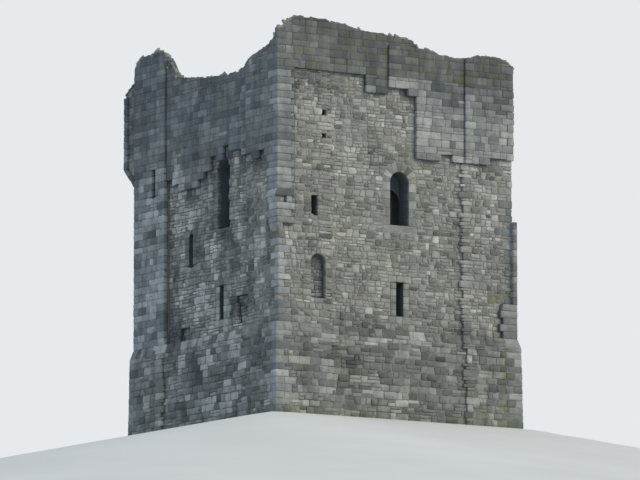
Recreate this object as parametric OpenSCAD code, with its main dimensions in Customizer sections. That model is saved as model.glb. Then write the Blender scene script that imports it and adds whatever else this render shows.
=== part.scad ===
// Square masonry keep of the hall kind, roofless, as it stands today: a rubble
// core on a battered plinth, with parts of its dressed facing still in place.
// The front is -Y and the left side is -X. All sizes are in millimetres.

/* [Plan] */
// Width of the keep across the dressed faces of its corner buttresses
keep_w = 12100; // [11500:50:13000]
// Thickness of a hall wall, its dressed facing included
wall_t = 2500; // [2300:50:2800]
// How far the corner buttresses stand out from the walls between them
buttress_out = 100; // [60:10:250]
// Thickness of the dressed facing
facing_t = 180; // [140:10:300]
// Width of the ledge inside the basement walls that carries the hall floor
ledge_w = 200; // [120:10:300]

/* [Heights] */
// Height of the battered plinth
plinth_h = 3900; // [3500:50:4100]
// Height of the ledge that carries the hall floor
ledge_h = 6500; // [6350:50:6800]
// Height of the wall-walk, from which the parapets rise
walk_h = 14850; // [14200:50:15500]
// Height of one course of dressed stone
course_h = 300; // [250:10:350]

/* [Plinth] */
// How far the plinth stands out at its shoulder
plinth_out = 120; // [80:10:220]
// How much further it stands out at the ground
plinth_batter = 50; // [30:10:120]
// Height of the sloping shoulder on top of the plinth
shoulder_h = 400; // [250:10:600]

/* [Windows] */
// Width of a hall window
window_w = 950; // [800:10:1100]
// Height of a hall window's sill above the floor ledge
window_rise = 1970; // [1800:10:2100]
// Height of a hall window from sill to crown
window_h = 2330; // [2100:10:2500]
// Width of a hall window's splay at the inner face
window_splay = 1700; // [1500:10:2000]
// Width of a basement loop
loop_w = 400; // [300:10:450]
// Height of a basement loop's sill above the plinth
loop_rise = 650; // [550:10:700]
// Height of masonry between the head of a basement loop and the floor ledge
loop_drop = 500; // [400:10:600]
// Height of the loop beside the left hall window
slit_h = 1450; // [1200:10:1600]
// Width of a loop's splay at the inner face
loop_splay = 1200; // [1000:10:1400]
// Depth of a window's dressed stones behind the wall's face
dressing_t = 420; // [350:10:480]
// Width of the arch stones and jambs round a window
dressing_w = 380; // [300:10:420]
// Gap between two dressed stones round an opening
joint_gap = 12; // [6:1:20]

/* [Doorway] */
// Width of the entrance doorway
door_w = 1200; // [1100:10:1400]
// Height of the entrance doorway from threshold to crown
door_h = 2450; // [2300:10:2700]
// Distance of the doorway from the middle of its wall, towards the front
door_shift = 900; // [700:10:1000]

/* [Parapet] */
// Thickness of a parapet
parapet_t = 900; // [700:10:1100]
// Width of the pilaster in the middle of the front
pilaster_w = 1450; // [1350:10:1600]
// Distance of the front window, loop and pilaster from the middle of the wall
front_shift = 250; // [150:10:350]

/* [Garderobe] */
// How far the garderobe stands out from the back buttress
garderobe_out = 900; // [700:10:1100]
// Width of the garderobe
garderobe_w = 1500; // [1300:10:1700]
// Height of the garderobe's floor
garderobe_h = 12300; // [11800:50:12800]

/* [Floor] */
// Depth of a floor joist
joist_h = 300; // [240:10:360]
// Width of a floor joist
joist_w = 240; // [180:10:300]
// Number of floor joists
joists = 7; // [5:1:9]
// Thickness of the floor boards
board_t = 60; // [40:5:80]
// Thickness of the basement's stone floor
paving_t = 300; // [200:10:400]

/* [Hidden] */
$fn = 48;

rubble_colour = [0.50, 0.49, 0.45];
ashlar_colour = [0.36, 0.38, 0.38];
plinth_colour = [0.44, 0.44, 0.41];
timber_colour = [0.33, 0.26, 0.19];

// Details that keep their own sizes
slit_rise = 220;
block_w = 550;
niche_rise = 1130;
niche_h = 1920;
throat_t = 800;
vault_drop = 700;
left_window_x = 1150;
left_slit_x = -1620;
left_loop_x = 990;
right_loop_x = 600;
jamb_stones = 5;
arch_stones = 9;
loop_jamb_w = 270;
stair_light_x = -4250;
stair_light_w = 350;
stair_light_h = 890;
light_depth = 1400;
niche_x = -3900;
niche_w = 750;
niche_depth = 260;
putlog_x = -3730;
putlog_w = 250;
putlog_heights = [11900, 12930];
corner_slit_x = -4350;
corner_slit_w = 300;
corner_slit_sill = 10430;
corner_slit_h = 1300;
quoin_long = 900;
quoin_short = 680;
// Course of the near corner's quoins that has lost its corner stone
robbed_quoin = 3;
robbed_w = 480;
// Hollows in the left wall: [distance from its loop, first course above the plinth, courses]
hollows = [[1800, 1, 4], [-3050, 0, 2]];
hollow_w = 950;
hollow_depth = 160;
garderobe_t = 280;
garderobe_inset = 100;
garderobe_rise = 900;
garderobe_fall = 450;
garderobe_roof_t = 400;
corbel_h = 1100;
// Inner end of a loop's splay: its height above the ledge or floor, and its rise over the head
splay_foot = 70;
splay_lift = 50;
// The pilaster stands this far to the right of the window below it
pilaster_shift = 50;
// Broken tops: grid cell, height of the bumps, least rise, width in which the profiles of two
// sides blend over a corner, and how much lower the corner is worn for each unit of depth
broken_cell = 300;
top_bumps = 120;
least_rise = 150;
blend_w = 900;
corner_wear = 0.16;
// Breaks in the wall tops run askew: their shift along the wall for each unit of depth
slant = 1.64;

// Planes, as distances from the centre of the keep
buttress_face = keep_w / 2;
buttress_core = buttress_face - facing_t;
wall_face = buttress_face - buttress_out;
wall_core = wall_face - facing_t;
hall_half = wall_face - wall_t;
cellar_half = hall_half - ledge_w;
corner_w = buttress_face - hall_half;
pilaster_left = front_shift + pilaster_shift - pilaster_w / 2;
pilaster_right = pilaster_left + pilaster_w;

// Levels worked out from the driving heights
window_sill = ledge_h + window_rise;
window_crown = window_sill + window_h;
loop_sill = plinth_h + loop_rise;
loop_h = ledge_h - loop_drop - loop_sill;
floor_top = ledge_h + joist_h + board_t;
door_crown = floor_top + door_h;
// The facing that hangs from the top breaks off above the crown of the front window
facing_low = on_course(window_crown + 2 * course_h) + 0.17 * course_h;
// The facing that stands on the plinth breaks off above the sill of the hall windows
facing_high = on_course(window_sill) + 1.73 * course_h;
// The near corner keeps its quoins down to the level of that sill
quoin_foot = on_course(window_sill) - course_h;
// Sill of the loop beside the left window
slit_sill = floor_top + slit_rise;

// Rise of each side's broken top above the wall-walk, from its left end to its right
// end as seen from outside: [share of the width, rise]
front_rise = [[0, 1650], [0.08, 2230], [0.23, 2140], [0.375, 1890], [0.49, 1800], [0.57, 1640],
    [0.58, 1430], [0.68, 1200], [0.74, 1090], [0.82, 1160], [0.84, 1290], [0.93, 1220], [1, 800]];
left_rise = [[0, 1500], [0.02, 1850], [0.17, 2050], [0.23, 1750], [0.266, 1230], [0.267, 680],
    [0.47, 340], [0.69, 130], [0.77, 350], [0.82, 700], [0.98, 1150], [1, 1650]];
right_rise = [[0, 1000], [0.2, 1100], [0.35, 800], [0.6, 950], [0.8, 1250], [1, 1350]];
back_rise = [[0, 1350], [0.15, 1300], [0.3, 800], [0.6, 700], [0.8, 900], [0.9, 1300], [1, 1500]];

// Turns what is drawn on the front to another side: 1 right, 2 back, 3 left
module side(k) {
    rotate([0, 0, 90 * k]) children();
}

// Extrudes a profile of [distance from the centre, height] along the wall
module along_wall(from, to, profile) {
    translate([from, 0, 0]) rotate([90, 0, 90]) linear_extrude(to - from)
        polygon([for (p = profile) [-p[0], p[1]]]);
}

// Extrudes an outline drawn on the wall's face from plane outer back to plane inner
module through_wall(outer, inner) {
    translate([0, -inner, 0]) rotate([90, 0, 0]) linear_extrude(outer - inner) children();
}

// Pseudo-random number from 0 to 1 that depends only on a and b
function scatter(a, b) = let (s = sin(a * 127.1 + b * 311.7 + 17) * 437.5) s - floor(s);

// Height rounded to whole courses above the plinth
function on_course(z) = plinth_h + course_h * round((z - plinth_h) / course_h);

// Stepped edge of broken ashlar: one tread for each block along the line
function toothed(edge, from, to, block, seed) =
    let (n = max(1, round((to - from) / block)), w = (to - from) / n)
    [for (i = [0:n - 1], end = [0, 1])
        let (z = lookup(from + (i + 0.5) * w, edge) + course_h * (scatter(i, seed) - 0.5) * 1.6)
        [from + (i + end) * w, min(walk_h, on_course(z))]];

// Solid from plane z0 up to the broken surface top(x, y), on a grid of cells. The sides
// are one quad for each cell, and the underside is a fan round its middle.
module broken_block(x0, x1, y0, y1, z0, cell, top) {
    nx = max(2, round((x1 - x0) / cell));
    ny = max(2, round((y1 - y0) / cell));
    row = ny + 1;
    base = (nx + 1) * row;
    ring = [
        for (i = [0:nx - 1]) [i, 0],
        for (j = [0:ny - 1]) [nx, j],
        for (i = [nx:-1:1]) [i, ny],
        for (j = [ny:-1:1]) [0, j]];
    around = len(ring);
    place = function (i, j) [x0 + (x1 - x0) * i / nx, y0 + (y1 - y0) * j / ny];
    polyhedron(
        points = [
            for (i = [0:nx], j = [0:ny]) let (p = place(i, j)) [p[0], p[1], top(p[0], p[1])],
            for (r = ring) let (p = place(r[0], r[1])) [p[0], p[1], z0],
            [(x0 + x1) / 2, (y0 + y1) / 2, z0]],
        faces = [
            for (i = [0:nx - 1], j = [0:ny - 1], half = [0, 1])
                let (a = i * row + j, b = a + row)
                half == 0 ? [a, a + 1, b + 1] : [a, b + 1, b],
            for (k = [0:around - 1])
                let (next = (k + 1) % around, a = ring[k], b = ring[next])
                [a[0] * row + a[1], b[0] * row + b[1], base + next, base + k],
            for (k = [0:around - 1]) [base + around, base + k, base + (k + 1) % around]]);
}

// Outline of an opening with a round head
module arched_outline(w, sill, crown) {
    translate([-w / 2, sill]) square([w, crown - sill - w / 2]);
    translate([0, crown - w / 2]) circle(w / 2);
}

// Splay that widens from an opening to the room: plan and section taper together
module splay(outer, inner, w_outer, w_inner, low_outer, low_inner, high_outer, high_inner) {
    intersection() {
        translate([0, 0, min(low_outer, low_inner)])
            linear_extrude(max(high_outer, high_inner) - min(low_outer, low_inner))
            polygon([[-w_outer / 2, -outer], [w_outer / 2, -outer],
                [w_inner / 2, -inner], [-w_inner / 2, -inner]]);
        along_wall(-max(w_outer, w_inner), max(w_outer, w_inner),
            [[outer, low_outer], [inner, low_inner], [inner, high_inner], [outer, high_outer]]);
    }
}

// Vaulted splay behind a hall window: a tapering barrel over a tapering chamber
module vaulted_splay(outer, inner, w_outer, w_inner, sill, springing) {
    splay(outer, inner, w_outer, w_inner, sill, sill, springing, springing);
    translate([0, -inner, springing]) rotate([90, 0, 0])
        cylinder(h = outer - inner, r1 = w_inner / 2, r2 = w_outer / 2);
}

// Everything that a hall window takes out of its wall
module window_void() {
    throat = wall_core - throat_t;
    through_wall(wall_core + 1, throat - 1) arched_outline(window_w, window_sill, window_crown);
    vaulted_splay(throat, hall_half - 1, window_w, window_splay, window_sill,
        window_crown - window_w / 2 - vault_drop);
}

// Everything that a basement loop takes out of its wall, from the face in plane outer
module loop_void(outer) {
    throat = wall_core - throat_t;
    loop_head = loop_sill + loop_h;
    through_wall(outer + 1, throat - 1)
        translate([-loop_w / 2, loop_sill]) square([loop_w, loop_h]);
    splay(throat, cellar_half - 1, loop_w, loop_splay, loop_sill, plinth_h + splay_foot,
        loop_head, loop_head + splay_lift);
}

// One dressed arch stone between two angles
module arch_stone(r, w, t, from, to) {
    rotate([90, 0, 0]) rotate([0, 0, from])
        rotate_extrude(angle = to - from) translate([r, 0]) square([w, t]);
}

// Round arch of separate dressed stones, with its springing at the origin
module dressed_arch(r, w, t, stones, gap) {
    slack = gap / (r + w / 2) * 180 / PI;
    for (i = [0:stones - 1])
        arch_stone(r, w, t, i * 180 / stones + slack / 2, (i + 1) * 180 / stones - slack / 2);
}

// Width of one jamb stone: long and short stones by turns
function jamb_w(i) = dressing_w * (i % 2 == 0 ? 1 : 0.65);

// Dressed surround of a round-headed opening, set in the face in plane outer
module arched_surround(w, sill, crown, outer) {
    springing = crown - w / 2;
    h = (springing - sill) / jamb_stones;
    translate([0, dressing_t - outer, 0]) {
        for (m = [0, 1], i = [0:jamb_stones - 1])
            mirror([m, 0, 0]) translate([w / 2, -dressing_t, sill + i * h + joint_gap / 2])
                cube([jamb_w(i), dressing_t, h - joint_gap]);
        translate([0, 0, springing]) dressed_arch(w / 2, dressing_w, dressing_t, arch_stones, joint_gap);
        translate([-w / 2 - dressing_w, -dressing_t, sill - course_h])
            cube([w + 2 * dressing_w, dressing_t, course_h - joint_gap / 2]);
    }
}

// The seat that is cut for an arched surround
module arched_seat(w, sill, crown, outer) {
    springing = crown - w / 2;
    h = (springing - sill) / jamb_stones;
    ring = w / 2 + dressing_w;
    through_wall(outer + 1, outer - dressing_t) {
        intersection() {
            translate([0, springing]) circle(ring);
            translate([-ring, springing]) square([2 * ring, ring]);
        }
        for (i = [0:jamb_stones - 1])
            translate([-w / 2 - jamb_w(i), sill + i * h]) square([w + 2 * jamb_w(i), h]);
        translate([-ring, sill - course_h]) square([2 * ring, course_h]);
    }
}

// Dressed surround of a straight loop: two jambs, a lintel and a sill stone
module loop_surround(sill, h, outer) {
    translate([0, -outer, 0]) {
        for (m = [0, 1]) mirror([m, 0, 0])
            translate([loop_w / 2, 0, sill + joint_gap / 2])
                cube([loop_jamb_w, dressing_t, h - joint_gap]);
        for (z = [sill - course_h, sill + h])
            translate([-loop_w / 2 - dressing_w, 0, z])
                cube([loop_w + 2 * dressing_w, dressing_t, course_h]);
    }
}

// The seat that is cut for a loop's surround
module loop_seat(sill, h, outer) {
    through_wall(outer + 1, outer - dressing_t) {
        translate([-loop_w / 2 - loop_jamb_w, sill]) square([loop_w + 2 * loop_jamb_w, h]);
        for (z = [sill - course_h, sill + h])
            translate([-loop_w / 2 - dressing_w, z]) square([loop_w + 2 * dressing_w, course_h]);
    }
}

// Plinth

function plinth_profile(face, inner) = [
    [inner, 0], [face + plinth_out + plinth_batter, 0],
    [face + plinth_out, plinth_h - shoulder_h], [face, plinth_h], [inner, plinth_h]];

// Corner of the plinth, battered on both outer sides
module corner_plinth() {
    foot = buttress_face + plinth_out + plinth_batter;
    profile = plinth_profile(buttress_face, hall_half);
    intersection() {
        along_wall(-foot, -hall_half, profile);
        side(3) along_wall(hall_half, foot, profile);
    }
}

// The front and back plinths carry the corners and the ends of the inner ledge
module end_plinth(k) {
    color(plinth_colour) side(k) {
        along_wall(-hall_half, hall_half, plinth_profile(wall_face, cellar_half));
        corner_plinth();
        mirror([1, 0, 0]) corner_plinth();
    }
}

module side_plinth(k) {
    color(plinth_colour) side(k) {
        along_wall(-hall_half, hall_half, plinth_profile(wall_face, hall_half));
        along_wall(-cellar_half, cellar_half,
            [[hall_half, 0], [cellar_half, 0], [cellar_half, plinth_h], [hall_half, plinth_h]]);
    }
}

module front_plinth() { end_plinth(0); }
module right_plinth() { side_plinth(1); }
module back_plinth() { end_plinth(2); }
module left_plinth() { side_plinth(3); }

// Walls between the corner buttresses

module lower_wall(k, ledge_half) {
    side(k) {
        along_wall(-hall_half, hall_half,
            [[wall_core, plinth_h], [hall_half, plinth_h], [hall_half, ledge_h], [wall_core, ledge_h]]);
        along_wall(-ledge_half, ledge_half,
            [[hall_half, plinth_h], [cellar_half, plinth_h], [cellar_half, ledge_h], [hall_half, ledge_h]]);
    }
}

module looped_wall(k, ledge_half, shift, outer) {
    color(rubble_colour) difference() {
        lower_wall(k, ledge_half);
        side(k) translate([shift, 0, 0]) {
            loop_void(outer);
            loop_seat(loop_sill, loop_h, outer);
        }
    }
}

module front_lower_wall() { looped_wall(0, hall_half, front_shift, wall_core); }
module right_lower_wall() { looped_wall(1, cellar_half, right_loop_x, wall_face); }
module back_lower_wall() { looped_wall(2, hall_half, 0, wall_core); }

// Stones have been robbed from the left wall beside its loop and over the plinth
module left_lower_wall() {
    difference() {
        looped_wall(3, cellar_half, left_loop_x, wall_core);
        side(3) through_wall(wall_core + 1, wall_core - hollow_depth) {
            for (h = hollows)
                hollow_outline(left_loop_x + h[0], plinth_h + h[1] * course_h, h[2]);
        }
    }
}

// Hall wall before its openings are cut
module upper_slab(k) {
    side(k) translate([-hall_half, -wall_core, ledge_h])
        cube([2 * hall_half, wall_core - hall_half, walk_h - ledge_h]);
}

module windowed_wall(k, shift) {
    color(rubble_colour) difference() {
        upper_slab(k);
        side(k) translate([shift, 0, 0]) {
            window_void();
            arched_seat(window_w, window_sill, window_crown, wall_core);
        }
    }
}

module front_upper_wall() { windowed_wall(0, front_shift); }
module back_upper_wall() { windowed_wall(2, 0); }

// The left wall has a tall window whose dressed stones are gone, and a loop beside it
module left_upper_wall() {
    color(rubble_colour) difference() {
        upper_slab(3);
        side(3) {
            translate([left_window_x, 0, 0]) ruined_window_void();
            translate([left_slit_x, 0, 0]) slit_void();
            translate([left_slit_x, 0, 0]) loop_seat(slit_sill, slit_h, wall_core);
        }
    }
}

// The right wall has the entrance, at the level of the hall floor
module right_upper_wall() {
    color(rubble_colour) difference() {
        upper_slab(1);
        side(1) translate([-door_shift, 0, 0]) {
            doorway_void();
            doorway_seat();
        }
    }
}

// How far the robbed jamb is broken back in one course, on side m
function robbed_reach(i, m) = window_w / 2 - 60 + 130 * scatter(i, m + 5);

// Hollow left by robbed stones: its ragged outline stands on height z at distance x
module hollow_outline(x, z, courses) {
    polygon([
        for (i = [0:courses - 1], end = [0, 1])
            [x + hollow_w * (0.35 + 0.3 * scatter(i, x)), z + (i + end) * course_h],
        for (i = [courses - 1:-1:0], end = [1, 0])
            [x - hollow_w * (0.35 + 0.3 * scatter(i, z)), z + (i + end) * course_h]]);
}

// Window robbed of its surround: every course is broken back by a different amount
module ruined_window_void() {
    throat = wall_core - throat_t;
    courses = round(window_h / course_h) + 1;
    head = window_sill + courses * course_h;
    through_wall(wall_core + 1, throat - 1) {
        polygon([
            for (i = [0:courses - 1], end = [0, 1])
                [robbed_reach(i, 1), window_sill + (i + end) * course_h],
            for (i = [courses - 1:-1:0], end = [1, 0])
                [-robbed_reach(i, 2), window_sill + (i + end) * course_h]]);
        translate([0, head]) circle(window_w / 2 - 70);
    }
    vaulted_splay(throat, hall_half - 1, window_w - 100, window_splay, window_sill,
        window_crown - window_w / 2 - vault_drop);
}

// Loop that lights the hall's side, beside the window
module slit_void() {
    throat = wall_core - throat_t;
    slit_head = slit_sill + slit_h;
    through_wall(wall_core + 2, throat - 1)
        translate([-loop_w / 2, slit_sill]) square([loop_w, slit_h]);
    splay(throat, hall_half - 1, loop_w, loop_splay, slit_sill, floor_top + splay_foot,
        slit_head, slit_head + splay_lift);
}

module doorway_void() {
    through_wall(wall_face + 1, hall_half - 1) arched_outline(door_w, floor_top, door_crown);
}

module doorway_seat() {
    arched_seat(door_w, floor_top, door_crown, wall_face);
}

// Solid corner masses of the core

module corner_core(k) {
    side(k) translate([-buttress_core, -buttress_core, plinth_h])
        cube([buttress_core - hall_half, buttress_core - hall_half, walk_h - plinth_h]);
}

// Blind recess in a corner mass, entered from the core's face
module recess(k, depth) {
    side(k) through_wall(buttress_core + 1, buttress_core - depth) children();
}

// The small stair light, the niche and the putlog holes of the front left corner
module front_left_buttress() {
    color(rubble_colour) difference() {
        corner_core(0);
        recess(0, light_depth) translate([stair_light_x, window_sill + 100])
            square([stair_light_w, stair_light_h]);
        recess(0, niche_depth) translate([niche_x, 0])
            arched_outline(niche_w, plinth_h + niche_rise, plinth_h + niche_rise + niche_h);
        for (z = putlog_heights)
            recess(0, light_depth / 2) translate([putlog_x, z]) square(putlog_w);
    }
}

module front_right_buttress() { color(rubble_colour) corner_core(1); }
module back_right_buttress() { color(rubble_colour) corner_core(2); }

// A slit lights the back left corner from the left side
module back_left_buttress() {
    color(rubble_colour) difference() {
        corner_core(3);
        recess(3, light_depth) corner_slit_outline();
    }
}

module corner_slit_outline() {
    translate([corner_slit_x - corner_slit_w / 2, corner_slit_sill])
        square([corner_slit_w, corner_slit_h]);
}

// Broken tops: turrets over the corners, parapets between them

// Rise of a side's broken top at a place along the side, which is given from its middle
function rise_at(profile, x) = lookup((x + buttress_face) / keep_w, profile);

// The same behind the face: what stands up there ends on a slanting line
function rise_behind(profile, x, depth) = min(rise_at(profile, x), rise_at(profile, x + slant * depth));

// Bump of a broken top at one place
function bump_at(x, y, seed) = top_bumps * (scatter(round(x / 50) + seed, round(y / 50)) - 0.5);

// Uneven top of a corner: the two sides' profiles meet, and the middle is worn lower
function corner_top(own, previous, seed) = function (x, y)
    let (from_own = y + buttress_face,
        from_previous = x + buttress_face,
        share = max(0, min(1, 0.5 + (from_own - from_previous) / blend_w)),
        rise = (1 - share) * rise_behind(own, x, from_own) + share * rise_at(previous, -y),
        worn = corner_wear * min(from_own, from_previous))
    walk_h + max(least_rise, rise - worn + bump_at(x, y, seed));

module turret(k, own, previous, own_plane, previous_plane) {
    color(ashlar_colour) side(k)
        broken_block(-previous_plane, -hall_half, -own_plane, -hall_half, walk_h, broken_cell,
            corner_top(own, previous, k * 13));
}

module front_left_turret() { turret(0, front_rise, left_rise, buttress_face, buttress_face); }
module front_right_turret() { turret(1, right_rise, front_rise, buttress_core, buttress_face); }
module back_right_turret() { turret(2, back_rise, right_rise, buttress_face, buttress_core); }
module back_left_turret() { turret(3, left_rise, back_rise, buttress_face, buttress_face); }

// Uneven top of a wall, which is lower towards the hall by the given slope
function wall_top(profile, slope, seed) = function (x, y)
    let (depth = y + wall_face)
    walk_h + max(least_rise, rise_behind(profile, x, depth) - slope * depth + bump_at(x, y, seed));

module parapet(k, profile, thickness, slope) {
    color(ashlar_colour) side(k)
        broken_block(-hall_half, hall_half, -wall_face, -wall_face + thickness, walk_h, broken_cell,
            wall_top(profile, slope, k * 7));
}

module front_parapet() { parapet(0, front_rise, parapet_t, 0.05); }
module right_parapet() { parapet(1, right_rise, parapet_t, 0.05); }
module back_parapet() { parapet(2, back_rise, parapet_t, 0.05); }
// On the left the parapet is gone, and only the broken head of the wall is left
module left_wall_top() { parapet(3, left_rise, wall_t, 0.08); }

// Middle pilaster of the front: dressed stone of which only the head is left
module front_pilaster() {
    edge = [[pilaster_left, walk_h - 1.6 * course_h], [pilaster_right, walk_h - 2.8 * course_h]];
    color(ashlar_colour) {
        through_wall(buttress_face, wall_core)
            hanging_outline(edge, pilaster_left, pilaster_right, pilaster_w / 3, 3);
        translate([pilaster_left, -buttress_face, walk_h])
            cube([pilaster_w, buttress_out, rise_at(front_rise, pilaster_right) - top_bumps / 2]);
    }
}

// Dressed facing that is left on the walls and corners

// Outline of facing that hangs from the wall-walk down to a broken edge
module hanging_outline(edge, from, to, block, seed) {
    polygon(concat([[from, walk_h]], toothed(edge, from, to, block, seed), [[to, walk_h]]));
}

// Outline of facing that stands on the plinth up to a broken edge
module standing_outline(edge, from, to, block, seed) {
    polygon(concat([[from, plinth_h]], toothed(edge, from, to, block, seed), [[to, plinth_h]]));
}

// Quoins in courses, long and short by turns and none quite alike
function quoin_w(i) = quoin_short + (quoin_long - quoin_short)
    * (i % 2 == 0 ? 0.7 + 0.3 * scatter(i, 5) : 0.4 * scatter(i, 9));

// Outline of quoins from the corner at x = 0 towards +X
module quoin_outline(from_z, to_z, first) {
    courses = ceil((to_z - from_z) / course_h - 0.01);
    polygon([
        [0, from_z],
        for (i = [0:courses - 1], end = [0, 1])
            [quoin_w(i + first), min(to_z, from_z + (i + end) * course_h)],
        [0, to_z]]);
}

// Facing of a wall between two corners
module wall_facing(k) {
    color(ashlar_colour) side(k) through_wall(wall_face, wall_core) children();
}

module front_facing() {
    beside = pilaster_left - 2 * block_w;
    wall_facing(0) {
        hanging_outline([[pilaster_right, facing_low], [hall_half, facing_low + 0.7 * course_h]],
            pilaster_right, hall_half, block_w, 11);
        hanging_outline([[beside - block_w, walk_h - course_h], [pilaster_left, walk_h - 3 * course_h]],
            beside, pilaster_left, 0.7 * block_w, 4);
    }
}

module left_facing() {
    wall_facing(3)
        hanging_outline([[-hall_half, facing_low - 2 * course_h],
            [left_window_x - 2 * window_w, facing_low - 3 * course_h],
            [left_window_x - window_w, facing_low + course_h / 3],
            [left_window_x + window_w, facing_low + course_h],
            [hall_half, facing_low - course_h / 3]],
            -hall_half, hall_half, block_w, 21);
}

module back_facing() {
    wall_facing(2)
        hanging_outline([[-hall_half, facing_low + 2 * course_h], [0, facing_low + course_h / 3],
            [hall_half, facing_low - 2 * course_h]],
            -hall_half, hall_half, block_w, 31);
}

// On the right the facing is left below, round the entrance, and in a ragged strip under the parapet
module right_facing() {
    color(ashlar_colour) difference() {
        side(1) through_wall(wall_face, wall_core) {
            standing_outline([[-hall_half, facing_high], [-door_shift - door_w, door_crown + 3 * course_h],
                [-door_shift + door_w, door_crown + 3 * course_h], [hall_half, facing_high - course_h]],
                -hall_half, hall_half, block_w, 41);
            hanging_outline([[-hall_half, facing_low + course_h], [-door_w, walk_h - 4 * course_h],
                [door_w, walk_h - 3 * course_h], [hall_half, facing_low + 2 * course_h]],
                -hall_half, hall_half, block_w, 44);
        }
        side(1) translate([-door_shift, 0, 0]) {
            doorway_void();
            doorway_seat();
        }
        side(1) translate([right_loop_x, 0, 0]) {
            loop_void(wall_face);
            loop_seat(loop_sill, loop_h, wall_face);
        }
    }
}

// Facing of a corner: children are the outlines on its own side and on the one before
module corner_facing(k) {
    color(ashlar_colour) {
        side(k) through_wall(buttress_face, buttress_core) children(0);
        side(k - 1) through_wall(buttress_face, buttress_core) children(1);
    }
}

// One stone is missing near the foot of the quoins
module front_left_quoins() {
    left_edge = [[hall_half, facing_low], [buttress_face, facing_low - course_h]];
    color(ashlar_colour) difference() {
        corner_facing(0) {
            translate([-buttress_face, 0]) quoin_outline(quoin_foot, walk_h, 0);
            union() {
                translate([buttress_face, 0]) mirror([1, 0]) quoin_outline(quoin_foot, walk_h, 1);
                hanging_outline(left_edge, hall_half, buttress_face, block_w, 52);
            }
        }
        translate([-buttress_face - 1, -buttress_face - 1, quoin_foot + robbed_quoin * course_h])
            cube([robbed_w, facing_t + 1, course_h]);
    }
}

module front_right_quoins() {
    corner_facing(1) {
        standing_outline([[-buttress_face, facing_high + course_h / 3],
            [-hall_half, facing_high - course_h / 3]], -buttress_face, -hall_half, block_w, 61);
        union() {
            translate([buttress_face, 0]) mirror([1, 0])
                quoin_outline(plinth_h, on_course(loop_sill + 3 * course_h), 1);
            hanging_outline([[hall_half, facing_low], [buttress_core, facing_low]],
                hall_half, buttress_core, block_w, 62);
        }
    }
}

module back_right_quoins() {
    corner_facing(2) {
        union() {
            hanging_outline([[-buttress_face, facing_low + 2 * course_h],
                [-hall_half, facing_low + course_h]], -buttress_face, -hall_half, block_w, 71);
            translate([-buttress_face, 0]) quoin_outline(plinth_h, walk_h, 0);
        }
        union() {
            standing_outline([[hall_half, facing_high - course_h], [buttress_face, facing_high]],
                hall_half, buttress_face, block_w, 72);
            translate([buttress_face, 0]) mirror([1, 0]) quoin_outline(plinth_h, walk_h, 1);
        }
    }
}

// The back left corner keeps its facing over the whole height
module back_left_quoins() {
    difference() {
        corner_facing(3) {
            translate([-buttress_face, plinth_h]) square([corner_w, walk_h - plinth_h]);
            translate([hall_half, plinth_h]) square([corner_w, walk_h - plinth_h]);
        }
        side(3) through_wall(buttress_face + 1, buttress_core - 1) corner_slit_outline();
    }
}

// Dressed stones round the openings

module front_window_surround() {
    color(ashlar_colour) translate([front_shift, 0, 0])
        arched_surround(window_w, window_sill, window_crown, wall_core);
}

module back_window_surround() {
    color(ashlar_colour) side(2)
        arched_surround(window_w, window_sill, window_crown, wall_core);
}

module doorway_surround() {
    color(ashlar_colour) side(1) translate([-door_shift, 0, 0])
        arched_surround(door_w, floor_top, door_crown, wall_face);
}

module loop_surrounds() {
    color(ashlar_colour) {
        translate([front_shift, 0, 0]) loop_surround(loop_sill, loop_h, wall_core);
        side(1) translate([right_loop_x, 0, 0]) loop_surround(loop_sill, loop_h, wall_face);
        side(2) loop_surround(loop_sill, loop_h, wall_core);
        side(3) translate([left_loop_x, 0, 0]) loop_surround(loop_sill, loop_h, wall_core);
        side(3) translate([left_slit_x, 0, 0]) loop_surround(slit_sill, slit_h, wall_core);
    }
}

// Floors

// Joists run from front to back and bear on the ledges of the lower walls
module hall_joists() {
    pitch = (2 * hall_half - 2 * joist_w) / (joists - 1);
    color(timber_colour)
        for (i = [0:joists - 1])
            translate([-hall_half + joist_w / 2 + i * pitch, -hall_half, ledge_h])
                cube([joist_w, 2 * hall_half, joist_h]);
}

module hall_floor() {
    color(timber_colour) translate([-hall_half, -hall_half, ledge_h + joist_h])
        cube([2 * hall_half, 2 * hall_half, board_t]);
}

module basement_floor() {
    color(plinth_colour) translate([-cellar_half, -cellar_half, 0])
        cube([2 * cellar_half, 2 * cellar_half, paving_t]);
}

// Garderobe: a hanging closet on the back, by the left corner, with an open shaft below

garderobe_right = buttress_face - garderobe_inset;
garderobe_left = garderobe_right - garderobe_w;
garderobe_face = buttress_face + garderobe_out;
garderobe_top = walk_h + garderobe_rise;

module garderobe() {
    shaft_face = garderobe_face - garderobe_t;
    shaft_top = garderobe_top - garderobe_roof_t;
    shaft_fall = garderobe_fall * (shaft_face - buttress_face) / garderobe_out;
    color(ashlar_colour) side(2) difference() {
        along_wall(garderobe_left, garderobe_right,
            [[buttress_face, garderobe_h], [garderobe_face, garderobe_h],
                [garderobe_face, garderobe_top - garderobe_fall], [buttress_face, garderobe_top]]);
        along_wall(garderobe_left + garderobe_t, garderobe_right - garderobe_t,
            [[buttress_face - 1, garderobe_h - 1], [shaft_face, garderobe_h - 1],
                [shaft_face, shaft_top - shaft_fall], [buttress_face - 1, shaft_top]]);
    }
}

// Each corbel is three stones that step out one over the other
module garderobe_corbels() {
    step_h = corbel_h / 3;
    color(ashlar_colour) side(2)
        for (x = [garderobe_left, garderobe_right - garderobe_t], i = [0:2])
            translate([x, -buttress_face - garderobe_out * (i + 1) / 3, garderobe_h - corbel_h + i * step_h])
                cube([garderobe_t, garderobe_out * (i + 1) / 3, step_h]);
}

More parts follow.
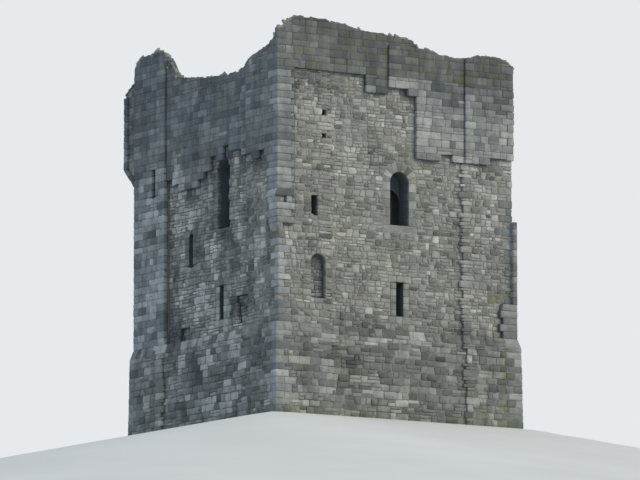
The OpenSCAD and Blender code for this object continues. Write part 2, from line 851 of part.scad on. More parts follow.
front_plinth();
right_plinth();
back_plinth();
left_plinth();
front_lower_wall();
right_lower_wall();
back_lower_wall();
left_lower_wall();
front_upper_wall();
right_upper_wall();
back_upper_wall();
left_upper_wall();
front_left_buttress();
front_right_buttress();
back_right_buttress();
back_left_buttress();
front_left_turret();
front_right_turret();
back_right_turret();
back_left_turret();
front_parapet();
right_parapet();
back_parapet();
left_wall_top();
front_pilaster();
front_facing();
right_facing();
back_facing();
left_facing();
front_left_quoins();
front_right_quoins();
back_right_quoins();
back_left_quoins();
front_window_surround();
back_window_surround();
doorway_surround();
loop_surrounds();
hall_joists();
hall_floor();
basement_floor();
garderobe();
garderobe_corbels();
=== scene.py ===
"""Looks of a ruined square keep: every stone of its rubble, facing, plinth and broken
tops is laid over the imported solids, with weathering, moss, timber and a studio stage."""

import math
from collections import namedtuple

import bmesh
import bpy
import numpy as np
from mathutils import Matrix, Vector, noise
from mathutils.bvhtree import BVHTree


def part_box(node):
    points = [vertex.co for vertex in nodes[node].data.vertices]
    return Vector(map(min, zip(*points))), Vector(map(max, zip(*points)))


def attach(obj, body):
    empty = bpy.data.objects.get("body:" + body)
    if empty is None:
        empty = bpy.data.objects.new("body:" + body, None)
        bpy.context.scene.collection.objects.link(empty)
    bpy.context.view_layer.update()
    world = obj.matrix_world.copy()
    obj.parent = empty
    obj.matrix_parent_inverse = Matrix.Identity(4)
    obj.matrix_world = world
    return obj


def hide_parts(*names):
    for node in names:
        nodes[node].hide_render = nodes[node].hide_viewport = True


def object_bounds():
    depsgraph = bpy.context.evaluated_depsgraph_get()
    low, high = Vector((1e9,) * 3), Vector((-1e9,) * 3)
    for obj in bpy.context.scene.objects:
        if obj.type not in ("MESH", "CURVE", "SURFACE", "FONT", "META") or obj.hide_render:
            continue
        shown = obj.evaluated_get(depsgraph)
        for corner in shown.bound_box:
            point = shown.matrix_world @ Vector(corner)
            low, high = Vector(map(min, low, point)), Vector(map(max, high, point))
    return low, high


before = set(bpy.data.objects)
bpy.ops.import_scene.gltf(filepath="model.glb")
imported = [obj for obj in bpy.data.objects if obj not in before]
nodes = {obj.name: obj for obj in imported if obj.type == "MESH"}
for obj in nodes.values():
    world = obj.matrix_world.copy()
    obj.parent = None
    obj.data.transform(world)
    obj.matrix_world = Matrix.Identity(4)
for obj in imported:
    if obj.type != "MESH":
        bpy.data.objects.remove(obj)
cad_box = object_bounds()
dice = np.random.default_rng(1187)

# Planes and levels of the solids, in metres
foot_half, _, plinth_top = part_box("front_plinth")[1]
walk_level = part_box("front_upper_wall")[1].z
top_level = cad_box[1].z
dressed_face = -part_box("front_left_quoins")[0].y
wall_face = -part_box("front_facing")[0].y
core_face = -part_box("front_left_buttress")[0].y
wall_core = -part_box("front_upper_wall")[0].y
facing_thickness = dressed_face - core_face
hall_half, _, hall_floor_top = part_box("hall_floor")[1]
parapet_thickness = wall_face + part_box("front_parapet")[1].y
plinth_break = sorted({round(v.co.z, 3) for v in nodes["front_plinth"].data.vertices})[1]

# Numbers of the four sides, and of any place inside the walls or on their tops
FRONT, RIGHT, BACK, LEFT, INSIDE = range(5)
SIDE_NAMES = ("front", "right", "back", "left")

# Masonry: height of a course, how far faces stand out and stones reach back, and joints
course = 0.3
proud = 0.022
highest_rise = 0.1
embedded = 0.06
block_joint = 0.012
# Planes count as one in steps of the grid, and a lesser step between them is no edge
plane_grid = 0.04
least_step = 0.05
# Upright share of the normal below which the stones of a top follow its slope
steep_slope = 0.8
# Shares of the dressed stones whose face has weathered away, and of all stones that are dark
lost_faces = 0.07
dark_stones = 0.05
# Share of the rough corners' blocks that are gone
lost_corners = 0.15

# Rays: where they start beside and above the keep, how deep behind the core's face they
# still find stonework, how far they search to each side, and their spacing
ray_start = 9.0
ray_height = 30.0
deepest_recess = 0.75
search_half = 7.2
scan_step = 0.06
# Distance past a bed joint or in from a corner at which a ray surely meets the next plane
look_past = 0.08
corner_ray = core_face - look_past


# Rays that find the solids

NAME_ENDS = {
    "upper_wall": "rubble", "lower_wall": "rubble", "buttress": "rubble",
    "facing": "ashlar", "quoins": "ashlar", "pilaster": "ashlar", "garderobe": "ashlar",
    "plinth": "plinth", "turret": "crown", "parapet": "crown", "wall_top": "crown",
    "loop_surrounds": "dressed",
}


def stonework(name):
    """Kind of stonework that a node shows, or plain where its own solids show"""
    for end, kind in NAME_ENDS.items():
        if name.endswith(end):
            return kind
    return "plain"


def merged_solids():
    """One tree of all solids, and the kind of stonework that each of its faces shows"""
    points, faces, kinds = [], [], []
    for name, obj in sorted(nodes.items()):
        first = len(points)
        points += [v.co.copy() for v in obj.data.vertices]
        faces += [[first + i for i in p.vertices] for p in obj.data.polygons]
        kinds += [stonework(name)] * len(obj.data.polygons)
    return BVHTree.FromPolygons(points, faces), kinds


solids, face_kinds = merged_solids()


class Survey:
    """Looks at the solids from one direction: u runs right, v up, and w towards the viewer"""

    def __init__(self, right, up, start, reach, steepest=0.5):
        self.right, self.up = Vector(right), Vector(up)
        self.towards = self.right.cross(self.up)
        self.start = start
        self.reach = reach
        self.steepest = steepest

    def at(self, u, v, w):
        return self.right * u + self.up * v + self.towards * w

    def strike(self, u, v):
        """Place, normal and kind of stonework where the ray at (u, v) stops, or None"""
        hit, normal, face, _ = solids.ray_cast(self.at(u, v, self.start), -self.towards, self.reach)
        if hit is None or normal.dot(self.towards) < self.steepest:
            return None
        return hit, normal, face_kinds[face]

    def probe(self, u, v):
        """How far towards the viewer the ray at (u, v) stops and on what, or None"""
        struck = self.strike(u, v)
        return (struck[0].dot(self.towards), struck[2]) if struck else None


def wall_survey(side, right, start, reach):
    """Looks level at the side; the front's +X is to the right (1) or to the left (-1)"""
    turn = Matrix.Rotation(side * math.pi / 2, 3, "Z")
    return Survey(turn @ Vector((right, 0, 0)), (0, 0, 1), start, reach)


def outer_survey(side):
    return wall_survey(side, 1, ray_start, ray_start - core_face + deepest_recess)


def inner_survey(side):
    """The same wall as seen from the middle of the hall"""
    return wall_survey(side, -1, 0.0, wall_face)


def top_survey(lowest, steepest=0.3):
    """The tops as seen from above, down to the lowest level"""
    return Survey((1, 0, 0), (0, 1, 0), ray_height, ray_height - lowest, steepest)


# Stones

# Order of the corners of a stone's outline, from bottom left
CORNERS = ((-1, -1), (1, -1), (1, 1), (-1, 1))


def on_rim(c):
    return abs(c) > 0.9


def spread(place, share):
    """The place with what lies between the rims moved out by the share"""
    return Vector([c if on_rim(c) else c * share for c in place])


def template_arrays(bm):
    """Vertices and faces of a stone shape, as arrays"""
    bmesh.ops.recalc_face_normals(bm, faces=bm.faces)
    bm.verts.index_update()
    points = np.array([v.co[:] for v in bm.verts])
    faces = sorted([v.index for v in f.verts] for f in bm.faces)
    bm.free()
    return points, faces


def face_stone(corner_share, inner_share):
    """A stone seen on one face: its rim is rounded at the corners and its face is raised.
    It spans -1 to 1 in x and y, and z is 1 on the face, 0 at the rim and -1 at the back."""
    bm = bmesh.new()
    bmesh.ops.create_grid(bm, x_segments=3, y_segments=3, size=1)
    for v in bm.verts:
        if on_rim(v.co.x) and on_rim(v.co.y):
            v.co *= corner_share
        elif on_rim(v.co.x) or on_rim(v.co.y):
            v.co = spread(v.co, 1.9)
        else:
            v.co *= 3 * inner_share
            v.co.z = 1.0
    rim = [e for e in bm.edges if e.is_boundary]
    back = bmesh.ops.extrude_edge_only(bm, edges=rim)["geom"]
    bmesh.ops.translate(bm, verts=[g for g in back if isinstance(g, bmesh.types.BMVert)],
                        vec=(0, 0, -1))
    bmesh.ops.holes_fill(bm, edges=[e for e in bm.edges if e.is_boundary], sides=0)
    return template_arrays(bm)


def corner_stone():
    """A block that shows on several sides, with worn edges and corners"""
    bm = bmesh.new()
    bmesh.ops.create_cube(bm, size=2)
    bmesh.ops.subdivide_edges(bm, edges=bm.edges, cuts=2, use_grid_fill=True)
    for v in bm.verts:
        v.co = spread(v.co, 2.5)
        faces_met = sum(on_rim(c) for c in v.co)
        v.co *= (1.0, 1.0, 0.975, 0.93)[faces_met]
    return template_arrays(bm)


RUBBLE_STONE = face_stone(0.86, 0.74)
SQUARED_STONE = face_stone(0.96, 0.88)
CORNER_STONE = corner_stone()


def mesh_from(bm, name):
    mesh = bpy.data.meshes.new(name)
    bm.to_mesh(mesh)
    bm.free()
    return mesh


def in_scene(data):
    """A new object in the scene, at the origin, with its data's name"""
    obj = bpy.data.objects.new(data.name, data)
    bpy.context.scene.collection.objects.link(obj)
    return obj


def add_piece(mesh, material, replaced=None):
    """Makes the mesh a visible piece, in place of a node if one is named"""
    mesh.materials.append(material)
    piece = in_scene(mesh)
    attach(piece, "root")
    if replaced:
        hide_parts(replaced)


class Masonry:
    """Collects the stones of one piece and makes them one mesh"""

    # How uneven a face is: its outline for each shape, its tilt and its points
    uneven_outline = (0.055, 0.025)
    uneven_tilt = 0.25
    uneven_face = 0.22

    def __init__(self, name, slot, material):
        self.name, self.slot, self.material = name, slot, material
        self.faced, self.blocks = [], []

    def lay(self, style, corners, normal, rise, back, tint):
        self.faced.append((style.shape, corners, normal, rise, back, style.rough, tint))

    def set_block(self, corners, rough, tint):
        self.blocks.append((corners, rough, tint))

    def faced_arrays(self, shape):
        """Points of all stones that are seen on one face and share a shape"""
        stones = [s for s in self.faced if s[0] == shape]
        if not stones:
            return None
        points, faces = (RUBBLE_STONE, SQUARED_STONE)[shape]
        _, corners, normals, *numbers, tints = map(np.array, zip(*stones))
        rise, back, rough = (n[:, None] for n in numbers)
        count, size = len(stones), len(points)
        x, y, z = points.T
        uneven = self.uneven_outline[shape] * rough
        x = x + dice.normal(0, 1, (count, size)) * uneven
        y = y + dice.normal(0, 1, (count, size)) * uneven
        share = np.stack([(1 + i * x) * (1 + j * y) for i, j in CORNERS], axis=2) / 4
        place = np.einsum("nsc,ncd->nsd", share, corners)
        tilt = dice.normal(0, self.uneven_tilt, (count, 2)) * rough
        bumps = dice.normal(0, self.uneven_face, (count, size)) * rough
        face = rise * (1 + tilt[:, :1] * x + tilt[:, 1:] * y + bumps)
        shoulder = np.maximum(rise * 0.45, rise - 0.035) + 0 * x
        out = np.where(z > 0.5, face, np.where(z > -0.5, shoulder, -back))
        return place + normals[:, None] * out[:, :, None], faces, tints

    def block_arrays(self):
        """Points of all blocks that show on several sides"""
        if not self.blocks:
            return None
        points, faces = CORNER_STONE
        corners, rough, tints = map(np.array, zip(*self.blocks))
        rough = rough[:, None, None]
        corners = corners + dice.normal(0, 0.005, corners.shape) * rough
        x, y, z = points.T
        share = np.stack([(1 + i * x) * (1 + j * y) * (1 + k * z) for k in (-1, 1)
                          for i, j in CORNERS], axis=1) / 8
        place = np.einsum("sc,ncd->nsd", share, corners)
        place = place + dice.normal(0, 0.002, place.shape) * rough
        return place, faces, tints

    def build(self):
        """One mesh of all stones, with a colour attribute that is even on each stone"""
        groups = [g for g in (self.faced_arrays(0), self.faced_arrays(1), self.block_arrays()) if g]
        arrays, first = [], 0
        for place, faces, tint in groups:
            count, size = place.shape[:2]
            starts = first + size * np.arange(count)
            loops = (starts[:, None] + np.concatenate(faces)).ravel()
            sizes = np.tile([len(f) for f in faces], count)
            arrays.append((place.reshape(-1, 3), loops, sizes, np.repeat(tint, size, axis=0)))
            first += count * size
        mesh = stone_mesh(self.name, *map(np.concatenate, zip(*arrays)))
        add_piece(mesh, self.material)


def stone_mesh(name, points, loops, sizes, tints):
    """A mesh from its points, the points and number of points of each face, and tints"""
    mesh = bpy.data.meshes.new(name)
    mesh.vertices.add(len(points))
    mesh.vertices.foreach_set("co", points.astype(np.float32).ravel())
    mesh.loops.add(len(loops))
    mesh.loops.foreach_set("vertex_index", loops.astype(np.int32))
    mesh.polygons.add(len(sizes))
    mesh.polygons.foreach_set("loop_start", (np.cumsum(sizes) - sizes).astype(np.int32))
    mesh.polygons.foreach_set("loop_total", sizes.astype(np.int32))
    mesh.update(calc_edges=True)
    attribute = mesh.color_attributes.new("tint", "FLOAT_COLOR", "POINT")
    attribute.data.foreach_set("color", tints.astype(np.float32).ravel())
    return mesh


# Weathering and painted shade: each stone gets a pick of the quarry's colours, soot with painted shade, moss
# and pale lichen

def drift(u, v, scale, seed):
    """Smooth random value, about -1 to 1, over the wall"""
    return noise.noise(Vector((u / scale, v / scale, seed * 7.3)))


# Dark stains and washed places of the front and the left side:
# (distance from the corner between them, height, half width, half height, soot and painted shade)
# On the front, the thin dark line at 11.45 m high is a painted shadow under the lower edge of the facing
# patch
FRONT_STAINS_AND_SHADE = [
    (1.9, 13.2, 0.9, 0.9, -0.12), (6.3, 14.55, 0.5, 0.35, -0.2), (8.4, 13.3, 1.2, 0.6, -0.14),
    (2.2, 14.5, 0.8, 0.4, 0.85), (8.7, 14.1, 0.6, 0.45, 0.7), (10.9, 13.9, 0.7, 0.8, 0.7),
    (8.6, 11.45, 1.7, 0.1, 0.45), (6.3, 7.9, 0.7, 0.7, 0.16),
    (2.6, 5.9, 0.5, 1.0, 0.22), (9.2, 6.2, 2.2, 0.14, 0.25), (4.8, 4.25, 2.4, 0.28, 0.6),
    (9.6, 3.9, 1.8, 0.4, 0.65), (11.7, 4.0, 0.5, 2.2, 0.24), (5.6, 3.45, 3.0, 0.2, -0.4),
    (10.0, 3.0, 1.4, 0.2, -0.4), (4.6, 2.5, 3.6, 0.45, 0.5), (2.0, 1.6, 1.2, 0.7, 0.22),
    (8.8, 1.5, 2.5, 0.8, 0.3), (6.2, 2.0, 7.0, 1.7, 0.16)]
# On the left, the dark line at 9.2 m from the corner is a painted shadow beside the far buttress, and the
# dark places round the window, slit, loop and hollow paint the shade of these openings together with their
# weathering
LEFT_STAINS_AND_SHADE = [
    (1.7, 13.2, 1.0, 0.75, -0.3), (1.7, 9.6, 1.1, 0.6, -0.35), (0.5, 9.3, 0.3, 1.5, 0.4),
    (4.9, 9.7, 0.45, 1.6, 0.55), (4.7, 7.2, 0.35, 1.3, 0.3), (7.5, 9.1, 0.8, 0.8, -0.32),
    (7.75, 7.8, 0.32, 0.85, 0.95), (10.7, 11.4, 1.2, 1.5, -0.34), (9.2, 12.3, 0.3, 3.0, 0.3),
    (4.9, 5.2, 0.35, 1.2, 0.5), (3.2, 5.3, 1.0, 0.9, 0.4), (6.7, 5.6, 0.6, 1.1, -0.35),
    (3.5, 3.7, 1.5, 0.35, -0.42), (8.4, 4.1, 0.8, 0.7, 0.45), (6.0, 2.5, 0.5, 0.8, -0.42),
    (6.9, 7.3, 0.3, 0.8, 0.35),
    (10.6, 6.2, 0.9, 1.0, -0.14), (1.0, 3.0, 0.9, 1.4, 0.28), (10.5, 2.4, 1.2, 0.8, -0.25)]


def clamped(share):
    return min(1.0, max(0.0, share))


def stains_and_shade(places, s, z):
    """Soot and painted shade of all stains together: each fades out from its middle and has a ragged edge"""
    s, z = s + 0.45 * drift(s, z, 0.8, 31), z + 0.45 * drift(s, z, 0.8, 32)
    return sum(amount * math.exp(-((s - middle) / half_width) ** 2 - ((z - level) / half_height) ** 2)
               for middle, level, half_width, half_height, amount in places)


def band_edge(s):
    """Lower edge of the dark head of the front: it hangs down at one place and falls to the right"""
    if 4.6 < s < 5.6:
        return 14.2
    return walk_level if s < 7.1 else 14.75 - 0.24 * (s - 7.1)


def front_soot_and_shade(s, z):
    """Dark weathering of the front and the painted shadow among its stains, with s from its left corner"""
    if z > band_edge(s) + 0.45 * drift(s, z, 0.8, 3) + 0.2 * drift(s, z, 0.35, 4):
        return (0.62 if s < 0.85 else 0.95) + 0.3 * drift(s, z * 0.5, 0.8, 8)
    strip = 0.34 if s < 0.9 and z > 8 else 0.06
    return strip + stains_and_shade(FRONT_STAINS_AND_SHADE, s, z) + 0.3 * drift(s, z, 0.7, 12)


def left_soot_and_shade(s, z):
    """Dark weathering of the left side and the painted shadow and shade among its stains, with s from its
    right corner: it runs down in streaks
    """
    edge = 11.0 + 1.1 * drift(s, 0, 1.6, 5)
    streaks = drift(s, z * 0.35, 0.55, 14)
    blotches = drift(s, z, 0.75, 15)
    above = clamped((z - edge) / 0.9 + 0.5)
    return (0.16 + 0.66 * above + 1.25 * stains_and_shade(LEFT_STAINS_AND_SHADE, s, z)
            + (1.0 - 0.6 * above) * streaks + (1.0 - 0.75 * above) * blotches)


def soot_and_shade_at(side, u, z):
    if side == FRONT:
        return front_soot_and_shade(dressed_face + u, z)
    if side == LEFT:
        return left_soot_and_shade(dressed_face - u, z)
    if side == INSIDE:
        return 0.34 + 0.3 * drift(u, z * 0.5, 0.9, side + 20)
    above = clamped((z - 12.2) / 1.2 - drift(u, 0, 1.8, side))
    return 0.16 + 0.6 * above + 0.5 * drift(u, z * 0.45, 0.7, side + 20) + 0.3 * drift(u, z, 1.1, side + 25)


def moss_at(side, u, z):
    """Green film: near the ground, in damp places and in the head of the front"""
    damp = max(0.0, 0.9 - z) * 0.5 + 0.5 * max(0.0, drift(u, z, 1.6, side + 40))
    if side == FRONT and z > walk_level:
        damp += 0.3 + 0.6 * max(0.0, drift(u, z, 1.1, 44))
    if side == FRONT and u > dressed_face - 1.2 and z < 6:
        damp += 0.4
    return damp


def tint_at(side, u, z, moss=0.0, behind=0.0):
    """Colour pick, soot with painted shade, moss and lichen of a stone; one that lies this far behind the
    core's face gets painted shade of its recess
    """
    # Painted shade: the farther a stone lies behind the core's face, the darker it is made
    soot_and_shade = soot_and_shade_at(side, u, z) + dice.normal(0, 0.09) + min(0.35, 2 * max(0.0, behind - 0.05))
    if dice.random() < dark_stones:
        soot_and_shade += dice.uniform(0.25, 0.75)
    washed = max(0.0, -soot_and_shade)
    pick = 0.5 + washed + 0.42 * drift(u, z, 1.7, side % INSIDE + 60) + dice.normal(0, 0.25)
    lichen = max(0.0, dice.normal(0.1, 0.3))
    return tuple(clamped(c) for c in (pick, soot_and_shade, moss_at(side, u, z) + moss, lichen))


# Courses and runs

def course_levels():
    """Levels of the bed joints: nearly equal courses between the ground, the break of the
    plinth's slope, its top and the wall-walk. The sloping shoulder is one course."""
    levels = [plinth_break]
    for start, end in ((0, plinth_break), (plinth_top, walk_level), (walk_level, top_level + course)):
        count = math.ceil((end - start) / course - 0.01)
        levels += [start] + [start + i * course + dice.uniform(-0.03, 0.03) for i in range(1, count)]
    return sorted(float(z) for z in levels)


LEVELS = course_levels()
COURSES = list(zip(LEVELS, LEVELS[1:]))


def probed_key(survey, u, v):
    """Kind of stonework and plane at a place, or None where nothing is laid"""
    found = survey.probe(u, v)
    if found is None or found[1] == "plain":
        return None, found[0] if found else None
    kind = "ashlar" if found[1] == "crown" else found[1]
    return (kind, round(found[0] / plane_grid)), found[0]


def runs_in_course(survey, v, u_low=-search_half, u_high=search_half):
    """Stretches of one kind and plane along a course, as (from, to, kind, w, w before, w after)"""
    count = int((u_high - u_low) / scan_step)
    samples = [(u_low + i * scan_step, *probed_key(survey, u_low + i * scan_step, v))
               for i in range(count + 1)]
    runs, border, before = [], u_low, None
    for last, here in zip(samples, samples[1:]):
        if here[1] == last[1]:
            continue
        near, far = last[0], here[0]
        for _ in range(4):
            middle = (near + far) / 2
            if probed_key(survey, middle, v)[0] == last[1]:
                near = middle
            else:
                far = middle
        edge = (near + far) / 2
        if last[1] is not None:
            runs.append((border, edge, last[1][0], last[2], before, here[2]))
        before = last[2]
        border = edge
    if samples[-1][1] is not None:
        runs.append((border, u_high, samples[-1][1][0], samples[-1][2], before, None))
    return runs


def widths_that_fill(length, shortest, longest):
    """Random stone widths that add up to the length"""
    if length < 1.5 * shortest:
        return [length]
    widths = []
    while sum(widths) < length - shortest * 0.5:
        widths.append(dice.uniform(shortest, longest))
    scale = length / sum(widths)
    return [w * scale for w in widths]


def bed_line(level, u, sway):
    """Height of a bed joint at u: rubble beds wander, dressed beds and the main levels don't"""
    if level in (0, plinth_break, plinth_top, walk_level):
        return level
    return level + sway * drift(u, level * 3.1, 1.3, 9)


def middle_of(corners):
    return sum(c[0] for c in corners) / len(corners), sum(c[1] for c in corners) / len(corners)


def settled_corner(survey, corners, index, w, slack):
    """The corner, or the nearest place towards the others that lies on the same plane"""
    own = corners[index]
    middle = middle_of(corners)
    upright = corners[3 - index]
    beside = corners[(1, 0, 3, 2)[index]]
    trials = [(0.05, middle)]
    trials += [(share, target) for share in (0.12, 0.25, 0.4, 0.6) for target in (upright, beside, middle)]
    for share, target in trials:
        u = own[0] + (target[0] - own[0]) * share
        v = own[1] + (target[1] - own[1]) * share
        found = survey.probe(u, v)
        if found and abs(found[0] - w) < slack and found[1] != "plain":
            return (own if share < 0.1 else (u, v)), found[0]
    return None


def lower_parts(cell):
    """The two parts of a cell below its middle, left and right"""
    left, right, top_right, top_left = cell
    foot = middle_of((left, right))
    left_side = middle_of((left, top_left))
    right_side = middle_of((right, top_right))
    middle = middle_of((left_side, right_side))
    return [left, foot, middle, left_side], [foot, right, right_side, middle]


def thrown_rise(style, relief, spread_of_rise):
    """How far a stone stands out, by chance"""
    return min(highest_rise, proud * style.rise * relief * max(0.25, dice.normal(1, spread_of_rise)))


def lay_cell(masonry, survey, side, cell, w, style, opened=(0, 0, 0, 0), back=embedded):
    """Lays one stone in a cell of four (u, v) corners, from bottom left anticlockwise.
    opened says how far the stone reaches out left, right, down and up, past its cell."""
    middle = middle_of(cell)
    found = survey.probe(*middle)
    on_plane = found and found[1] != "plain" and abs(found[0] - w) < style.slack
    settled = [on_plane and settled_corner(survey, cell, i, found[0], style.slack) for i in range(4)]
    if not all(settled):
        if cell[0][1] > walk_level - 0.1 and cell[3][1] - cell[0][1] > 0.1 and side != INSIDE:
            for part in lower_parts(cell):
                lay_cell(masonry, survey, side, part, w, style, back=back)
        return
    gap = style.joint / 2
    places = []
    for ((u, v), depth), (i, j) in zip(settled, CORNERS):
        u += (-opened[0] or gap) if i < 0 else (opened[1] or -gap)
        v += (-opened[2] or gap) if j < 0 else (opened[3] or -gap)
        places.append(survey.at(u, v, depth)[:])
    normal = (Vector(places[1]) - Vector(places[0])).cross(Vector(places[3]) - Vector(places[0]))
    if normal.length < 0.004:
        return
    relief = 1 + style.relief * drift(*middle, 1.4, side + 80)
    rise = thrown_rise(style, relief, 0.35 * style.rough)
    if style.shape and dice.random() < lost_faces:
        rise *= 0.15
    behind = wall_core - found[0] if side != INSIDE else 0
    masonry.lay(style, places, normal.normalized()[:], rise, back,
                tint_at(side, *middle, style.moss, behind))


# Of each kind: round (0) or squared (1), unevenness, how far it stands out and how much that
# varies over the wall, steps it bears, moss, widths, wander of beds and joints, and joint width
Style = namedtuple("Style", "shape rough rise relief slack moss widths sway lean joint")
STYLES = {
    "inner": Style(0, 0.9, 1.2, 0.6, 0.03, 0.1, (0.4, 0.9), 0.04, 0.03, 0.02),
    "crown": Style(0, 1.6, 2.4, 0.9, 0.2, 0.5, (0.16, 0.42), 0.05, 0.05, 0.012),
    "walk": Style(0, 1.2, 1.3, 0.8, 0.06, 0.5, (0.2, 0.5), 0.05, 0.05, 0.015),
    "rubble": Style(0, 1.0, 1.05, 0.7, 0.03, 0.0, (0.2, 0.54), 0.06, 0.04, 0.024),
    "ashlar": Style(1, 0.5, 0.7, 0.6, 0.03, 0.0, (0.3, 0.8), 0.0, 0.0, 0.01),
    "plinth": Style(1, 1.2, 1.2, 0.7, 0.3, 0.05, (0.2, 0.72), 0.035, 0.03, 0.018),
    "dressed": Style(1, 0.5, 0.9, 0.3, 0.03, 0.0, (0.3, 0.6), 0.0, 0.0, 0.01),
}


def quilt(width, kind):
    """Splits one cell of a course into stones, as shares of its width and height"""
    toss = dice.random()
    whole = [(0, 1, 0, 1)]
    if kind == "dressed":
        return whole
    squared = kind in ("ashlar", "plinth")
    split = dice.uniform(0.42, 0.58) if squared else dice.uniform(0.36, 0.66)
    halves = [(0, 1, 0, split), (0, 1, split, 1)]
    if squared:
        return halves if toss < (0.06 if kind == "ashlar" else 0.28) else whole
    if toss < 0.4 and width < (0.46 if kind == "rubble" else 0.7):
        return whole
    if toss < 0.66:
        return halves
    cut = dice.uniform(0.35, 0.65)
    if toss < 0.82:
        return [(0, cut, 0, split), (cut, 1, 0, split), (0, 1, split, 1)]
    if toss < 0.95:
        return [(0, 1, 0, split), (0, cut, split, 1), (cut, 1, split, 1)]
    return [(0, cut, 0, 1), (cut, 1, 0, split), (cut, 1, split, 1)]


def reach_over(kind, step):
    """How far a stone reaches past its cell over a step down beside it: stones of the
    rubble and the plinth hide the line of a small step"""
    if step < least_step:
        return 0
    return dice.uniform(0.01, 0.28) if step < 0.13 and kind in ("rubble", "plinth") else 0.012


# Step down where nothing stands beside, and how far a dressed stone reaches over one in height
open_edge = 0.3
past_bed = 0.008


def fill_run(masonry, survey, side, run, low, high):
    """Fills one stretch of a course with stones"""
    start, end, kind, w, before, after = run
    style = STYLES[kind]
    step_left, step_right = (open_edge if beside is None else w - beside for beside in (before, after))
    borders = [start]
    for width in widths_that_fill(end - start, *style.widths):
        borders.append(borders[-1] + width)
    leans = [0.0] + [dice.uniform(-1, 1) * style.lean for _ in borders[2:]] + [0.0]
    for i, (u0, u1) in enumerate(zip(borders, borders[1:])):
        lean0, lean1 = leans[i], leans[i + 1]
        first, last = i == 0, i == len(borders) - 2
        next_planes = [survey.probe((u0 + u1) / 2, v) for v in (low - look_past, high + look_past)]
        step_low, step_high = (w - p[0] if p and kind == "ashlar" else 0 for p in next_planes)
        deepest = max(embedded, step_left * first, step_right * last, step_low, step_high)
        # Dressed loop stones reach back only a little, so the painted shade of the loops' reveals shows
        # behind them
        back = embedded if kind == "dressed" else min(deepest, facing_thickness + 0.02)
        open_low, open_high = (past_bed * (step > least_step) for step in (step_low, step_high))
        for x0, x1, y0, y1 in quilt(u1 - u0, kind):
            cell = []
            for x, y in ((x0, y0), (x1, y0), (x1, y1), (x0, y1)):
                u = u0 + (u1 - u0) * x
                lean = lean0 + (lean1 - lean0) * x
                v_low = bed_line(low, u, style.sway)
                v_high = bed_line(high, u, style.sway)
                cell.append((u + lean * (2 * y - 1), v_low + (v_high - v_low) * y))
            opened = (reach_over(kind, step_left) * (first and x0 == 0),
                      reach_over(kind, step_right) * (last and x1 == 1),
                      open_low * (y0 == 0), open_high * (y1 == 1))
            lay_cell(masonry, survey, side, cell, w, style, opened, back)


def corner_blocks(masonry, corner):
    """Blocks up one corner of the keep: long on one side and short on the other by turns.
    Returns how much of each course they take on the side and on the one before it."""
    survey, other = outer_survey(corner), outer_survey((corner + 3) % 4)
    taken = {}
    for index, (low, high) in enumerate(COURSES):
        middle = (low + high) / 2
        on_side = survey.probe(-corner_ray, middle)
        on_other = other.probe(corner_ray, middle)
        if not on_side or not on_other:
            continue
        kind = "rubble" if "rubble" in (on_side[1], on_other[1]) else on_side[1]
        if on_side[1] == on_other[1] == "rubble" and dice.random() < lost_corners:
            continue
        long, short = (0.62, 0.3) if kind == "rubble" else (0.72, 0.4)
        lengths = []
        views = ((survey, -1, on_side[0], on_other[0]), (other, 1, on_other[0], on_side[0]))
        for turn, (look, sign, depth, reach) in enumerate(views):
            own = (long if (index + turn) % 2 else short) * dice.uniform(0.85, 1.15)
            extent = own
            for trial in np.arange(0.3, 1.05, 0.03):
                there = look.probe(sign * (reach - trial), middle)
                if not there or abs(there[0] - depth) > least_step:
                    extent = trial - 0.015
                    break
            lengths.append(min(own, extent) if kind == "rubble" else extent)
        taken[low] = (on_other[0], lengths[0], on_side[0], lengths[1])
        set_corner_block(masonry, survey, other, corner, low, high, lengths, kind)
    return taken


def set_corner_block(masonry, survey, other, corner, low, high, lengths, kind):
    """One block on a corner, its outer faces a little proud of both sides"""
    def planes_at(v):
        return survey.probe(-corner_ray, v), other.probe(corner_ray, v)
    top = high
    while top > low + 0.08 and None in planes_at(top - 0.01):
        top -= 0.03
    if top <= low + 0.1:
        return
    rough = 2.2 if kind == "rubble" else 1.0
    stand = proud * dice.uniform(0.7, 1.3) * (1.4 if kind == "rubble" else 0.8)
    points = []
    for v in (low + block_joint / 2, top - block_joint / 2):
        side_w, other_w = planes_at(min(max(v, low + 0.02), top - 0.02))
        if not side_w or not other_w:
            return
        u0, u1 = -other_w[0] - stand, -other_w[0] + lengths[0] - block_joint
        w0, w1 = side_w[0] + stand, side_w[0] - lengths[1] + block_joint
        points += [survey.at(u, v, w)[:] for u, w in ((u0, w0), (u1, w0), (u1, w1), (u0, w1))]
    masonry.set_block(points, rough, tint_at(corner, -dressed_face, (low + top) / 2))


# Materials

def grey(share):
    return share, share, share


